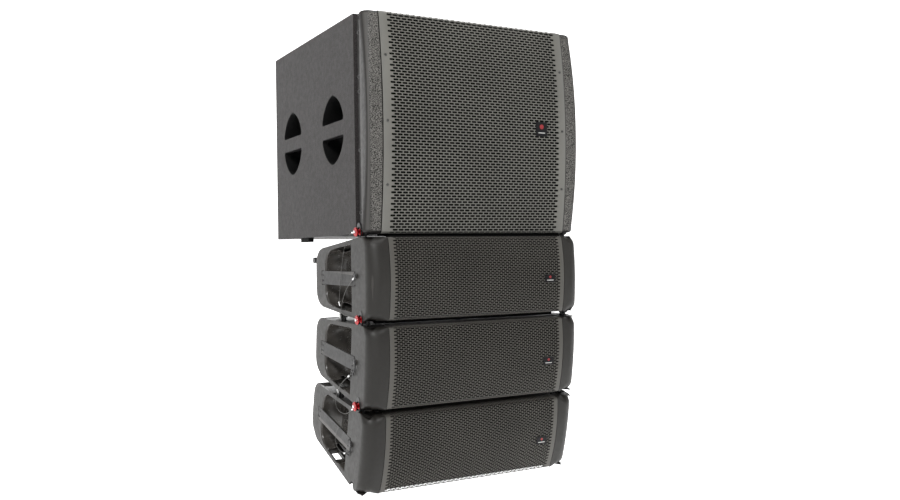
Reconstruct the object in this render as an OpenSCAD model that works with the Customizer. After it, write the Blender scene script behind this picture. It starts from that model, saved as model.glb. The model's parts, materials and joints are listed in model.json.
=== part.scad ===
// Flown line array: one bass box with three two-way splayed elements pinned below it.
// Axes: +X to the listener's right, -Y towards the listener, +Z up.
// The origin is on the bass box's top face, straight above the front pins.

/* [Stack] */
// Width of every box
body_w = 700; // [680:1:720]
// Angle between the bass box and element 1
splay_1 = 0; // [-2:0.5:4]
// Angle between elements 1 and 2
splay_2 = 6; // [2:0.5:9]
// Angle between elements 2 and 3
splay_3 = 7; // [2:0.5:9]
// Distance from one element's front pins to the next ones
pin_pitch = 242; // [240:1:246]
// Height of the first front pins above the bass box's bottom
pin_rise = 6; // [4:1:8]

/* [Bass box] */
// Height of the bass box
sub_h = 613; // [600:1:640]
// Depth of the bass box behind its rigging channel
sub_d = 678; // [640:1:700]
// How far the front bows out at mid height
sub_bow = 24; // [16:1:28]
// Width of each front cheek
sub_cheek_w = 45; // [40:1:50]
// Wall thickness
sub_wall = 18; // [15:1:21]
// Width of a leaf-shaped hand hole
leaf_w = 174; // [140:1:180]
// Height of a leaf-shaped hand hole
leaf_h = 205; // [190:1:220]
// Height of the bar across a hand hole
leaf_bar = 41; // [36:1:50]
// Radius of a hand hole's corners
leaf_r = 9; // [6:1:12]
// Radius of the bass box's outer front edges
sub_edge_r = 14; // [10:1:30]
// Outer radius of the bass driver
bass_r = 231; // [225:1:233]

/* [Element] */
// Height of an element at its front
box_h = 229; // [226:1:230]
// Distance from the pins to the rear of the side panels
panel_d = 318; // [310:1:325]
// Distance from the pins to the rear of the cabinet
box_d = 352; // [345:1:356]
// Slope of the top and the bottom behind the pins
wedge = 5.3; // [5.2:0.1:5.6]
// How far the front bows out at mid height
box_bow = 13; // [8:1:14]
// Wall thickness
box_wall = 12; // [10:1:14]
// Width of each moulded front cheek
box_cheek_w = 59; // [50:1:60]
// Radius of a moulded cheek's outer corner
cheek_r = 38; // [37:1:59]
// Depth of a hand pocket
pocket_depth = 60; // [50:1:60]
// Outer radius of a woofer
woofer_r = 100; // [96:1:101]
// Distance of a woofer from the middle
woofer_x = 172; // [170:1:173]

/* [Rigging] */
// Radius of a front pin's shank
pin_r = 5; // [4:0.5:5.5]
// Radial play of a pin in its plates
pin_play = 0.05; // [0.02:0.01:0.1]
// Radius of a pin's red flange
knob_r = 13; // [12:0.5:14]
// Distance from the front pins to the rear link's bolt
link_reach = 165; // [160:1:170]
// Radius of the rear link's bolt
bolt_r = 4; // [3:0.5:4.5]
// Thickness of the rigging plates
plate_t = 5; // [4:0.5:5]
// Diameter of a lanyard
lanyard_d = 1.5; // [1.5:0.5:2]

/* [Hidden] */
$fn = 64;
bow_fn = 360;      // facets of the large arcs
cut = 1;           // how far a cutter passes a face
side_x = body_w / 2;
gap_top = 15;      // from a pin down to the top of its element
box_low = -gap_top - box_h;
mid_z = -gap_top - box_h / 2;
channel = 20;      // half the width of a rigging channel
corner_r = 45;     // rear corners of a side panel
rear_r = 50;       // rear corners of a cabinet, seen from the side

// Bass box, front to rear
sub_seam_y = -47;
sub_front_y = sub_seam_y - sub_bow;
sub_frame_x = 320;
sub_rear_y = channel + sub_d;
baffle_y = 2;
baffle_t = 24;
bass_z = -sub_h / 2;
leaf_y = [183, 533];
leaf_z = 309 - sub_h;
cup_depth = 70;
cup_wall = 4;
rail_bolt_z = [-57, -179, -220, -382, -554];
rail_spacer_z = [-200, -382];

// Element, front to rear, measured from its top pins
seam_y = -59;
front_y = seam_y - box_bow;
frame_y = -28;     // front edge of the cabinet, where the grille ends
cheek_x = side_x - box_cheek_w;
inner_x = side_x - pocket_depth - 4;
wide_x = side_x - 7;
board_y = -8;      // front face of the baffle
board_t = 12;
pocket_y = [58, 260];
rim = 12;          // height of the rims above and below a pocket
bar_z = -130;
bar_h = 40;
bar_y = [32, 287];
bar_t = 6;
bar_gap = 1.2;     // gap round a handle bar in its seat
horn_w = 136;
plate_x = 150;     // middle of the input plate

// Rigging plates across X
ear_in = side_x - 24;
tongue_x = side_x - 18.5;
ear_out = side_x - 13;
lug_r = 12;
link_lug_r = 9;
well = [side_x - 32, side_x - 4.5];
slot_y = [link_reach - 30, link_reach + 24];
rear_bar_at = [368, -78];
rear_bar_r = 9;
rear_reach = norm(rear_bar_at);
rear_angle = atan2(rear_bar_at[1], rear_bar_at[0]);
max_splay = 10;
link_lean = 5;     // the clevis bolt sits this far below the box's square line

// Where each element hangs
tilt = [splay_1, splay_1 + splay_2, splay_1 + splay_2 + splay_3];
pin_1 = [0, pin_rise - sub_h];
pin_2 = pin_1 + pin_pitch * [sin(tilt[0]), -cos(tilt[0])];
pin_3 = pin_2 + pin_pitch * [sin(tilt[1]), -cos(tilt[1])];
pins = [pin_1, pin_2, pin_3];

// Lanyard routes on the left side, in their own element's frame
lanyard_1 = [
    [-356, 13, -2], [-356, 30, -1], [-355, 52, -5], [-354, 76, -18], [-353, 94, -36], [-353, 110, -66],
    [-353, 125, -111], [-353, 134, -149], [-353, 141, -181], [-352, 145, -198], [-348, 149, -208],
    [-347, 151, -212]
];
lanyard_2 = [
    [-354, 27, -127], [-353, 46, -134], [-353, 69, -147], [-353, 97, -168], [-353, 113, -187],
    [-353, 126, -208], [-353, 130, -222], [-353, 116, -232], [-353, 79, -236], [-353, 46, -238],
    [-354, 15, -240]
];
lanyard_3 = [
    [-354, 42, -161], [-353, 75, -178], [-353, 100, -193], [-353, 118, -207], [-353, 138, -226],
    [-353, 150, -245], [-353, 157, -266], [-353, 147, -281], [-353, 124, -288], [-353, 90, -286],
    [-353, 62, -277], [-353, 36, -262], [-354, 14, -249]
];
lanyard_4 = [
    [-354, 48, -160], [-353, 62, -166], [-353, 85, -171], [-353, 109, -171], [-353, 124, -165],
    [-353, 131, -151], [-353, 130, -135], [-353, 124, -120], [-352, 117, -110], [-347, 113, -109.5]
];

// ---- Outlines ----

function unit(v) = v / norm(v);

// Points on a circle's arc about c, from angle a to angle b
function arc(c, r, a, b, n = 8) = [for (i = [0 : n]) c + r * [cos(a + (b - a) * i / n), sin(a + (b - a) * i / n)]];

// Corner p between its neighbours a and b, rounded to radius r
function corner(p, a, b, r) =
    let (u = unit(a - p), v = unit(b - p), half = acos(u * v) / 2,
        c = p + unit(u + v) * r / sin(half),
        s = p + u * r / tan(half) - c, e = p + v * r / tan(half) - c,
        from = atan2(s[1], s[0]), turn = atan2(e[1], e[0]) - from,
        sweep = turn > 180 ? turn - 360 : turn < -180 ? turn + 360 : turn)
    arc(c, r, from, from + sweep);

function rounded(points, radii) = [
    for (i = [0 : len(points) - 1])
        let (n = len(points), p = points[i])
            each radii[i] > 0 ? corner(p, points[(i + n - 1) % n], points[(i + 1) % n], radii[i]) : [p]
];

function top_z(y) = -gap_top - max(y, 0) * tan(wedge);
function low_z(y) = box_low + max(y, 0) * tan(wedge);

// An element's side view between two depths, set in from the top and the bottom
function side_view(y0, y1, inset = 0) = [
    [y0, low_z(y0) + inset], if (y0 < 0 && y1 > 0) [0, low_z(0) + inset], [y1, low_z(y1) + inset],
    [y1, top_z(y1) - inset], if (y0 < 0 && y1 > 0) [0, top_z(0) - inset], [y0, top_z(y0) - inset]
];

// A cabinet's side view from a depth to its rear, whose corners are round
function cabinet_view(y0, inset = 0) =
    let (p = side_view(y0, box_d - inset, inset), n = len(p) / 2)
        rounded(p, [for (i = [0 : len(p) - 1]) i == n - 1 || i == n ? rear_r - inset : 0]);

// ---- Shared shapes ----

module block(x, y, z) {
    translate([x[0], y[0], z[0]])
        cube([x[1] - x[0], y[1] - y[0], z[1] - z[0]]);
}

// An outline in Y and Z, extruded between two X positions
module slab(x, outline) {
    translate([x[0], 0, 0])
        rotate([90, 0, 90])
            linear_extrude(x[1] - x[0])
                polygon(outline);
}

module rod(x, y, z, r) {
    translate([x[0], y, z])
        rotate([0, 90, 0])
            cylinder(r = r, h = x[1] - x[0]);
}

// A profile of radius and depth, turned about an axis along +Y
module turned(x, z, profile) {
    translate([x, 0, z])
        rotate([-90, 0, 0])
            rotate_extrude($fn = 96)
                polygon(profile);
}

// A half-round front: everything behind the arc through a bowed front
module behind_bow(y, z, height, bow, x) {
    r = height * height / 8 / bow + bow / 2;
    translate([-x, y + r, z])
        rotate([0, 90, 0])
            cylinder(r = r, h = 2 * x, $fn = bow_fn);
}

module both_sides() {
    children();
    mirror([1, 0, 0])
        children();
}

module hang(k) {
    translate([0, pins[k][0], pins[k][1]])
        rotate([tilt[k], 0, 0])
            children();
}

// A loudspeaker basket and motor: flange at the front, magnet behind
module driver(x, z, y, r, depth, magnet_r, coil_r, magnet_d) {
    seat = r * 0.9;
    rear = y + depth;
    neck = magnet_r * 0.95;
    difference() {
        turned(x, z, [
            [seat - 5, y], [r, y], [r, y + 4], [seat, y + 4], [seat, y + 14], [neck, rear],
            [coil_r + 2, rear], [coil_r + 2, rear - 5], [neck - 6, rear - 5], [seat - 5, y + 12]
        ]);
        for (a = [0 : 60 : 300])
            translate([x, y + 18, z])
                rotate([0, a, 0])
                    block([-r * 0.2, r * 0.2], [0, depth - 26], [magnet_r * 0.9, r]);
    }
    turned(x, z, [
        [coil_r + 2, rear], [magnet_r, rear], [magnet_r, rear + magnet_d], [0, rear + magnet_d],
        [0, rear - 6], [coil_r - 3, rear - 6], [coil_r - 3, rear + magnet_d - 12],
        [coil_r + 2, rear + magnet_d - 12]
    ]);
}

// A cone with its dust cap, roll surround and voice coil
module cone(x, z, y, r, depth, coil_r, roll, coil_d) {
    edge = r - 2 * roll - 6;
    turned(x, z, [
        [edge, y], [edge + 2 * roll + 4, y], [edge + 2 * roll + 4, y - 1],
        each arc([edge + roll, y - 1], roll, 0, -180), [edge - 2, y - 1],
        [coil_r + 5, y + depth * 0.72], [0, y + depth * 0.72 - 12], [0, y + depth * 0.72 - 9],
        [coil_r - 1.2, y + depth * 0.72 + 2], [coil_r - 1.2, y + depth + coil_d],
        [coil_r + 0.6, y + depth + coil_d], [coil_r + 0.6, y + depth * 0.72 + 6]
    ]);
}

// ---- Bass box ----

// One hand hole, or the part of it between two heights, grown by some amount
module sub_leaf(y, low, high, grow, x) {
    bulge = (leaf_h * leaf_h + leaf_w * leaf_w) / 4 / leaf_w;
    offset_y = bulge - leaf_w / 2;
    translate([x[0], y, leaf_z])
        rotate([90, 0, 90])
            linear_extrude(x[1] - x[0])
                offset(r = leaf_r + grow)
                    offset(r = -leaf_r)
                        intersection() {
                            translate([-offset_y, 0])
                                circle(r = bulge, $fn = 128);
                            translate([offset_y, 0])
                                circle(r = bulge, $fn = 128);
                            translate([-leaf_w, low])
                                square([2 * leaf_w, high - low]);
                        }
}

module sub_cabinet() {
    color("#47443f")
    difference() {
        union() {
            block([-side_x, side_x], [channel, sub_rear_y], [-sub_h, 0]);
            block([-sub_frame_x, sub_frame_x], [-channel, channel + cut], [-sub_h, 0]);
        }
        block([sub_wall - side_x, side_x - sub_wall], [baffle_y + baffle_t, sub_rear_y - sub_wall],
            [sub_wall - sub_h, -sub_wall]);
        block([-sub_frame_x + sub_wall, sub_frame_x - sub_wall], [-channel - cut, baffle_y],
            [sub_wall - sub_h, -sub_wall]);
        // Rigging channels run full height beside the front frame
        both_sides()
            block([sub_frame_x, side_x + cut], [-channel - cut, channel], [-sub_h - cut, cut]);
        // Driver hole and the two reflex slots
        turned(0, bass_z, [[0, 0], [bass_r * 0.9 + 1, 0], [bass_r * 0.9 + 1, 40], [0, 40]]);
        for (z = [-40, 40 - sub_h])
            block([-250, 250], [0, 40], [z - 20, z + 20]);
        both_sides()
            for (y = leaf_y) {
                sub_leaf(y, leaf_bar / 2, leaf_h, 0, [side_x - sub_wall - cut, side_x + cut]);
                sub_leaf(y, -leaf_h, -leaf_bar / 2, 0, [side_x - sub_wall - cut, side_x + cut]);
            }
        block([-110, 110], [sub_rear_y - sub_wall - cut, sub_rear_y + cut], [bass_z - 80, bass_z + 80]);
    }
}

module sub_hand_cups() {
    mouth = side_x - sub_wall;
    color("#161616")
    both_sides()
        for (y = leaf_y)
            difference() {
                sub_leaf(y, -leaf_h, leaf_h, cup_wall, [mouth - cup_depth, mouth]);
                sub_leaf(y, -leaf_h, leaf_h, 0, [mouth - cup_depth + cup_wall, mouth + cut]);
            }
}

module sub_cheek_plan() {
    // The outer front edge is the softest, the seam edge is the sharpest
    polygon(rounded([
        [side_x - sub_cheek_w, sub_front_y], [side_x, sub_front_y], [side_x, -channel],
        [side_x - sub_cheek_w, -channel]
    ], [3, sub_edge_r, 3, 0]));
}

module sub_cheeks() {
    color("#3c3b38")
    both_sides()
        difference() {
            intersection() {
                translate([0, 0, 2 - sub_h])
                    linear_extrude(sub_h - 4)
                        sub_cheek_plan();
                behind_bow(sub_front_y, -sub_h / 2, sub_h, sub_bow, side_x + cut);
            }
            block([side_x - sub_cheek_w + 8, side_x - 8], [sub_seam_y + 6, -channel + cut],
                [14 - sub_h, -14]);
        }
}

module sub_grille() {
    wide = side_x - sub_cheek_w - 1;
    color("#3a3935")
    difference() {
        intersection() {
            block([-wide, wide], [sub_front_y - cut, -channel], [1 - sub_h, -1]);
            behind_bow(sub_front_y, -sub_h / 2, sub_h, sub_bow, wide);
        }
        intersection() {
            block([-wide - cut, wide + cut], [sub_front_y, -channel + cut], [3 - sub_h, -3]);
            behind_bow(sub_front_y + 2, -sub_h / 2, sub_h, sub_bow, wide + 2 * cut);
        }
    }
}

// A rail with a pin clevis at its foot and a fly-pin clevis at its head
module sub_rails() {
    clevis_h = 40;
    color("#2a2a2a")
    both_sides()
        difference() {
            union() {
                block([sub_frame_x, sub_frame_x + plate_t], [-15, 15], [pin_1[1] + 25, -4]);
                for (z = [pin_1[1] + 25, -4 - clevis_h])
                    block([ear_in, ear_out + plate_t], [-12, 12], [z, z + clevis_h * 0.4]);
                for (x = [ear_in, ear_out]) {
                    block([x, x + plate_t], [-12, 12], [pin_1[1], pin_1[1] + 41]);
                    rod([x, x + plate_t], 0, pin_1[1], lug_r);
                    block([x, x + plate_t], [-12, 12], [-4 - clevis_h, -16]);
                    rod([x, x + plate_t], 0, -16, lug_r);
                }
                block([sub_frame_x + plate_t, ear_in], [-12, 12], [pin_1[1] + 25, pin_1[1] + 41]);
                block([sub_frame_x + plate_t, ear_in], [-12, 12], [-44, -28]);
                // The outer plate, which carries the bolt heads, on its spacers
                block([ear_out, ear_out + plate_t], [-17, 12], [pin_1[1] + 20, -24]);
                for (z = rail_spacer_z)
                    block([sub_frame_x, ear_out], [-12, 12], [z - 12, z + 12]);
            }
            rod([ear_in - cut, side_x], 0, pin_1[1], pin_r + pin_play);
            rod([ear_in - cut, side_x], 0, -16, pin_r + pin_play);
        }
}

module sub_rail_bolts() {
    color("#8d8f90")
    both_sides()
        for (z = rail_bolt_z)
            rod([ear_out + plate_t, ear_out + plate_t + 6], 0, z, 6.5);
}

module sub_grille_screws() {
    color("#6e6e6c")
    both_sides()
        for (z = [-125, -306, -480]) {
            sag = pow(z + sub_h / 2, 2) / (sub_h * sub_h / 4 / sub_bow);
            translate([side_x - sub_cheek_w - 14, sub_front_y + sag, z])
                rotate([90, 0, 0])
                    cylinder(r = 4, h = 2.5);
        }
}

module sub_driver() {
    color("#303236")
    driver(0, bass_z, baffle_y - 4, bass_r, 130, 105, 38, 60);
}

module sub_cone() {
    color("#1d1d1f")
    cone(0, bass_z, baffle_y - 18, bass_r, 110, 38, 13, 40);
}

module sub_input_plate() {
    color("#202020")
    difference() {
        block([-125, 125], [sub_rear_y, sub_rear_y + 3], [bass_z - 95, bass_z + 95]);
        for (x = [-60, 60])
            translate([x, sub_rear_y - cut, bass_z])
                rotate([-90, 0, 0])
                    cylinder(r = 13, h = 5);
    }
    // Two locking sockets behind the plate
    color("#2b3a55")
    for (x = [-60, 60])
        turned(x, bass_z, [
            [12.5, sub_rear_y - 20], [16, sub_rear_y - 20], [16, sub_rear_y], [12.5, sub_rear_y]
        ]);
}

module sub_skids() {
    color("#0c0c0c")
    both_sides()
        block([side_x - 20, side_x - 2], [405, 475], [-sub_h - 14, -sub_h]);
}

// The arc slot that the rear bar or a link bolt rides in
module arc_slot(x, reach, from, to, r) {
    intersection() {
        difference() {
            rod(x, 0, 0, reach + r);
            rod([x[0] - cut, x[1] + cut], 0, 0, reach - r);
        }
        slab(x, [[0, 0], 2 * reach * [cos(from), sin(from)], 2 * reach * [cos(to), sin(to)]]);
    }
    for (a = [from, to])
        rod(x, reach * cos(a), reach * sin(a), r);
}

module sub_rear_link() {
    head = sub_h + pins[0][1];
    color("#2a2a2a")
    translate([0, pins[0][0], pins[0][1]])
        difference() {
            union() {
                block([-45, 45], [350, 400], [-head - 5, -head]);
                slab([-4, 4], rounded([[344, -8], [394, -8], [394, -70], [384, -124], [344, -124]],
                    [0, 0, 0, 14, 10]));
            }
            arc_slot([-4 - cut, 4 + cut], rear_reach, rear_angle - 4.5, rear_angle + 5.5, rear_bar_r + 0.3);
        }
}

module sub_badge() {
    color("#1a1a1a")
    translate([0, sub_front_y, 0])
        block([195, 235], [-2, 0], [-324, -282]);
}

// ---- Element ----

module cabinet() {
    color("#45423e")
    difference() {
        union() {
            slab([-inner_x, inner_x], cabinet_view(frame_y));
            slab([-wide_x, wide_x], cabinet_view(pocket_y[1] + 6));
        }
        difference() {
            slab([box_wall - inner_x, inner_x - box_wall], cabinet_view(board_y + board_t, box_wall));
            // Solid well behind the groove for the bass box's link
            block([-22, 22], [310, box_d], [-170, -30]);
        }
        slab([box_wall - inner_x, inner_x - box_wall], side_view(frame_y - cut, board_y, box_wall));
        block([-8, 8], [322, box_d + cut], [-160, 0]);
        both_sides()
            turned(woofer_x, mid_z, [
                [0, board_y - cut], [woofer_r * 0.9 + 1, board_y - cut],
                [woofer_r * 0.9 + 1, board_y + board_t + cut], [0, board_y + board_t + cut]
            ]);
        block([6 - horn_w / 2, horn_w / 2 - 6], [board_y - cut, board_y + board_t + cut],
            [mid_z - 88, mid_z + 88]);
        block([plate_x - 80, plate_x + 80], [box_d - box_wall - cut, box_d + cut], [mid_z - 40, mid_z + 30]);
    }
}

function pocket_view(inset) = rounded([
    [pocket_y[0] + inset, low_z(pocket_y[0]) + rim + inset],
    [pocket_y[1] - inset, low_z(pocket_y[1]) + rim + inset],
    [pocket_y[1] - inset, top_z(pocket_y[1]) - rim - inset],
    [pocket_y[0] + inset, top_z(pocket_y[0]) - rim - inset]
], [8, 50, 50, 8]);

function panel_view() = rounded([
    [front_y - 2, box_low], [0, box_low], [panel_d, low_z(panel_d)], [panel_d, top_z(panel_d)],
    [0, -gap_top], [front_y - 2, -gap_top]
], [0, 0, corner_r, corner_r, 0, 0]);

module panel_body() {
    intersection() {
        slab([inner_x, side_x], panel_view());
        union() {
            block([inner_x, side_x], [front_y + box_cheek_w, panel_d], [-300, 0]);
            block([cheek_x, side_x], [front_y, panel_d], [-300, 0]);
        }
        union() {
            translate([side_x - cheek_r, front_y + cheek_r, -300])
                cylinder(r = cheek_r, h = 300, $fn = 128);
            block([inner_x - cut, side_x - cheek_r], [front_y - cut, panel_d + cut], [-300, 0]);
            block([inner_x - cut, side_x + cut], [front_y + cheek_r, panel_d + cut], [-300, 0]);
        }
        behind_bow(front_y, mid_z, box_h, box_bow, side_x + cut);
    }
}

module side_panel() {
    rest_y = pocket_y[1] + 6;
    difference() {
        panel_body();
        slab([side_x - pocket_depth, side_x + cut], pocket_view(0));
        // The rim behind the pocket is a shell over the cabinet's side
        block([inner_x - cut, wide_x], [rest_y, panel_d + cut], [-300, 0]);
        // Channel for the front rigging, open above and below
        block(well, [-channel, channel], [-300, 0]);
        block([cheek_x + 6, well[0] - 4], [seam_y + 8, 30], [box_low + 12, -gap_top - 12]);
        block([inner_x - cut, cheek_x], [front_y - cut, frame_y + 2], [-300, 0]);
        for (z = [0, -pin_pitch])
            rod([well[1] - cut, side_x + cut], 0, z, knob_r + 3);
        // Slots in the rims for the rear links, and seats for the handle bar
        block(well, slot_y, [-300, 0]);
        block([side_x - bar_t, side_x + cut], bar_y + [-bar_gap, bar_gap],
            [bar_z - bar_h / 2 - bar_gap, bar_z + bar_h / 2 + bar_gap]);
    }
}

module side_panels() {
    color("#4a4744")
    both_sides()
        side_panel();
}

module grille() {
    wide = cheek_x - 1;
    color("#3b3a35")
    difference() {
        intersection() {
            slab([-wide, wide], side_view(front_y - 2, frame_y));
            behind_bow(front_y, mid_z, box_h, box_bow, wide);
        }
        intersection() {
            slab([-wide - cut, wide + cut], side_view(front_y - 1, frame_y + cut, 2));
            behind_bow(front_y + 2, mid_z, box_h, box_bow, wide + 2 * cut);
        }
    }
}

// A flat bar with a notched rear end, and the post that a lanyard's hook hangs on
module handle_bar() {
    low = bar_z - bar_h / 2;
    high = bar_z + bar_h / 2;
    face = [side_x - bar_t, side_x];
    difference() {
        slab(face, [
            [bar_y[0] + 6, low], [bar_y[1] - 3, low], [bar_y[1], low + 4], [bar_y[1] - 4, bar_z - 8],
            [bar_y[1], bar_z - 4], [bar_y[1], bar_z + 4], [bar_y[1] - 4, bar_z + 8],
            [bar_y[1], high - 4], [bar_y[1] - 3, high], [bar_y[0] + 6, high], [bar_y[0], high - 6],
            [bar_y[0], low + 6]
        ]);
        for (y = [bar_y[0] + 16, bar_y[1] - 12], z = [bar_z - 8, bar_z + 8])
            rod([face[0] - cut, side_x + cut], y, z, 2.5);
    }
    rod([side_x, side_x + 5], 21, bar_z + 7, 4);
    block([side_x, side_x + 2], [16, 42], [bar_z, bar_z + 14]);
    block([side_x - 2, side_x + 2], [34, 42], [bar_z, bar_z + 14]);
}

module handle_bars() {
    color("#4d4a47")
    both_sides()
        handle_bar();
}

// Front rigging: a tongue above for the box overhead, and a clevis below
module front_rigging() {
    foot = -pin_pitch;
    difference() {
        union() {
            block([ear_in, ear_in + plate_t], [-15, 15], [foot + 4, -34]);
            block([tongue_x, tongue_x + plate_t], [-lug_r, lug_r], [-62, 0]);
            rod([tongue_x, tongue_x + plate_t], 0, 0, lug_r);
            block([ear_in + plate_t, tongue_x], [-lug_r, lug_r], [-62, -34]);
            // Pads that carry the rigging on the panel's inner wall
            for (z = [-60, -130, -200])
                block([well[0], ear_in], [-15, 15], [z - 12, z + 12]);
            for (x = [ear_in, ear_out]) {
                block([x, x + plate_t], [-lug_r, lug_r], [foot, foot + 44]);
                rod([x, x + plate_t], 0, foot, lug_r);
            }
            block([ear_in, ear_out + plate_t], [-lug_r, lug_r], [foot + 28, foot + 44]);
        }
        for (z = [0, foot])
            rod([ear_in - cut, side_x], 0, z, pin_r + pin_play);
    }
}

// Rear link that hangs below a box from the walls of its slot in the lower rim
module link_tongue() {
    rim_z = low_z(link_reach);
    difference() {
        union() {
            slab([tongue_x, tongue_x + plate_t], rounded([
                [link_reach - 17, -16 - pin_pitch], [link_reach - 8, -24 - pin_pitch],
                [link_reach + 12, -24 - pin_pitch], [link_reach + 16, -16 - pin_pitch],
                [link_reach + 16, rim_z + 10], [link_reach - 17, rim_z + 10]
            ], [6, 6, 6, 6, 0, 0]));
            block([tongue_x, tongue_x + plate_t], slot_y, [rim_z + 4, rim_z + 10]);
        }
        translate([0, 0, -pin_pitch])
            arc_slot([tongue_x - cut, side_x], link_reach, -link_lean - 0.5, max_splay - link_lean + 0.5,
                bolt_r + 0.3);
    }
}

// Rear clevis that stands up to the box overhead, held in the slot of the upper rim
module link_clevis() {
    at = link_reach * [cos(link_lean), -sin(link_lean)];
    rim_z = top_z(link_reach);
    for (x = [ear_in, ear_out])
        difference() {
            union() {
                rod([x, x + plate_t], at[0], at[1], link_lug_r);
                block([x, x + plate_t], [at[0] - link_lug_r, at[0] + link_lug_r], [rim_z - 10, at[1]]);
                block([x, x + plate_t], slot_y, [rim_z - 10, rim_z - 4]);
            }
            rod([x - cut, x + plate_t + cut], at[0], at[1], bolt_r);
        }
    rod([ear_in - 3, side_x - 6], at[0], at[1], bolt_r);
    rod([ear_in - 6, ear_in], at[0], at[1], bolt_r + 3);
}

module rigging(k) {
    color("#232323")
    both_sides() {
        front_rigging();
        if (k < 2)
            link_tongue();
        if (k > 0)
            link_clevis();
    }
}

module woofers() {
    color("#2d2f33")
    both_sides()
        driver(woofer_x, mid_z, board_y - 4, woofer_r, 66, 60, 25, 32);
}

module cones() {
    color("#1b1b1d")
    both_sides()
        cone(woofer_x, mid_z, board_y - 10, woofer_r, 52, 25, 6, 22);
}

// A vertical waveguide with its compression driver
module horn() {
    throat_y = 130;
    mouth = horn_w / 2;
    tall = 96;
    color("#222222")
    difference() {
        intersection() {
            translate([0, 0, mid_z - tall])
                linear_extrude(2 * tall)
                    polygon([[-mouth, board_y - 6], [mouth, board_y - 6], [mouth, board_y],
                        [mouth - 6, board_y], [22, throat_y], [-22, throat_y], [6 - mouth, board_y],
                        [-mouth, board_y]]);
            slab([-mouth, mouth], [[board_y - 6, mid_z - tall], [board_y, mid_z - tall],
                [board_y, 8 + mid_z - tall], [throat_y, mid_z - 30], [throat_y, mid_z + 30],
                [board_y, mid_z + tall - 8], [board_y, mid_z + tall], [board_y - 6, mid_z + tall]]);
        }
        intersection() {
            translate([0, 0, mid_z - tall])
                linear_extrude(2 * tall)
                    polygon([[10 - mouth, board_y - 7], [mouth - 10, board_y - 7], [12, throat_y + 1],
                        [-12, throat_y + 1]]);
            slab([-mouth, mouth], [[board_y - 7, 12 + mid_z - tall], [throat_y + 1, mid_z - 18],
                [throat_y + 1, mid_z + 18], [board_y - 7, mid_z + tall - 12]]);
        }
    }
    color("#35363a")
    turned(0, mid_z, [[0, throat_y], [30, throat_y], [45, throat_y + 6], [45, throat_y + 44],
        [38, throat_y + 50], [0, throat_y + 50]]);
}

module input_plate() {
    color("#202020")
    difference() {
        block([plate_x - 90, plate_x + 90], [box_d, box_d + 3], [mid_z - 50, mid_z + 36]);
        for (x = [plate_x - 40, plate_x + 40])
            translate([x, box_d - cut, mid_z - 6])
                rotate([-90, 0, 0])
                    cylinder(r = 13, h = 5);
    }
    color("#2b3a55")
    for (x = [plate_x - 40, plate_x + 40])
        turned(x, mid_z - 6, [[12.5, box_d - 20], [16, box_d - 20], [16, box_d], [12.5, box_d]]);
}

module badge() {
    color("#1a1a1a")
    block([219, 255], [front_y - 2, front_y], [mid_z - 24, mid_z]);
}

module rear_bar() {
    color("#302f2e")
    hang(0) {
        rod([5 - side_x, side_x - 5], rear_bar_at[0], rear_bar_at[1], rear_bar_r);
        both_sides()
            block([260, 270], [box_d, rear_bar_at[0]], [rear_bar_at[1] - 12, rear_bar_at[1] + 5]);
    }
}

// ---- Pins and lanyards ----

// A ball-lock pin along +X: its shank, and its head's profile with the blind hole for a button
module pin(head) {
    rotate([0, 90, 0])
        rotate_extrude()
            polygon(concat([[0, side_x - 28], [pin_r - 1, side_x - 28], [pin_r, side_x - 27]], head));
}

// The left pins have a spool to pull on, narrow in its middle
spool = [
    [pin_r, side_x - 7], [12, side_x - 7], [12, side_x - 4.5], [5.6, side_x + 1], [5.6, side_x + 3],
    [knob_r, side_x + 8], [knob_r, side_x + 10.5], [knob_r - 1.5, side_x + 12], [4.2, side_x + 12],
    [4.2, side_x + 1.5], [0, side_x + 1.5]
];

// The right pins have a low head that stays inside the panel's face
low_head = [
    [pin_r, side_x - 7], [9, side_x - 7], [10, side_x - 6], [10, side_x - 3], [9, side_x - 2],
    [4.2, side_x - 2], [4.2, side_x - 6.5], [0, side_x - 6.5]
];

module button(x) {
    rod(x, 0, 0, 4);
}

module pin_left(k) {
    color("#b3202a")
    hang(k)
        mirror([1, 0, 0])
            pin(spool);
}

module pin_right(k) {
    color("#232323")
    hang(k)
        pin(low_head);
}

module button_left(k) {
    color("#c9c9c6")
    hang(k)
        mirror([1, 0, 0])
            button([side_x + 5.5, side_x + 15]);
}

module button_right(k) {
    color("#c9c9c6")
    hang(k)
        button([side_x - 3, side_x]);
}

// A point at fraction t of the way from p[i] to p[i + 1] on a smooth curve
function smooth(p, i, t) =
    let (n = len(p) - 1, a = p[max(i - 1, 0)], b = p[i], c = p[min(i + 1, n)], d = p[min(i + 2, n)])
    0.5 * (2 * b + (c - a) * t + (2 * a - 5 * b + 4 * c - d) * t * t + (3 * b - a - 3 * c + d) * t * t * t);

function along(p) = [
    for (i = [0 : len(p) - 2], t = [0, 0.5])
        smooth(p, i, t),
    p[len(p) - 1]
];

module cord(route, d) {
    path = along(route);
    last = len(path) - 1;
    sides = 8;
    rings = [
        for (i = [0 : last])
            let (t = unit(path[min(i + 1, last)] - path[max(i - 1, 0)]), u = unit(cross(t, [1, 0, 0])),
                v = cross(t, u))
                for (j = [0 : sides - 1])
                    path[i] + d / 2 * (u * cos(360 * j / sides) + v * sin(360 * j / sides))
    ];
    polyhedron(rings, concat(
        [[for (j = [sides - 1 : -1 : 0]) j]],
        [for (i = [0 : last - 1], j = [0 : sides - 1])
            [i * sides + j, i * sides + (j + 1) % sides, (i + 1) * sides + (j + 1) % sides,
                (i + 1) * sides + j]],
        [[for (j = [0 : sides - 1]) last * sides + j]]
    ));
}

module lanyard(k, route) {
    color("#9a9a96")
    hang(k)
        cord(route, lanyard_d);
}

// ---- Parts ----

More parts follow.
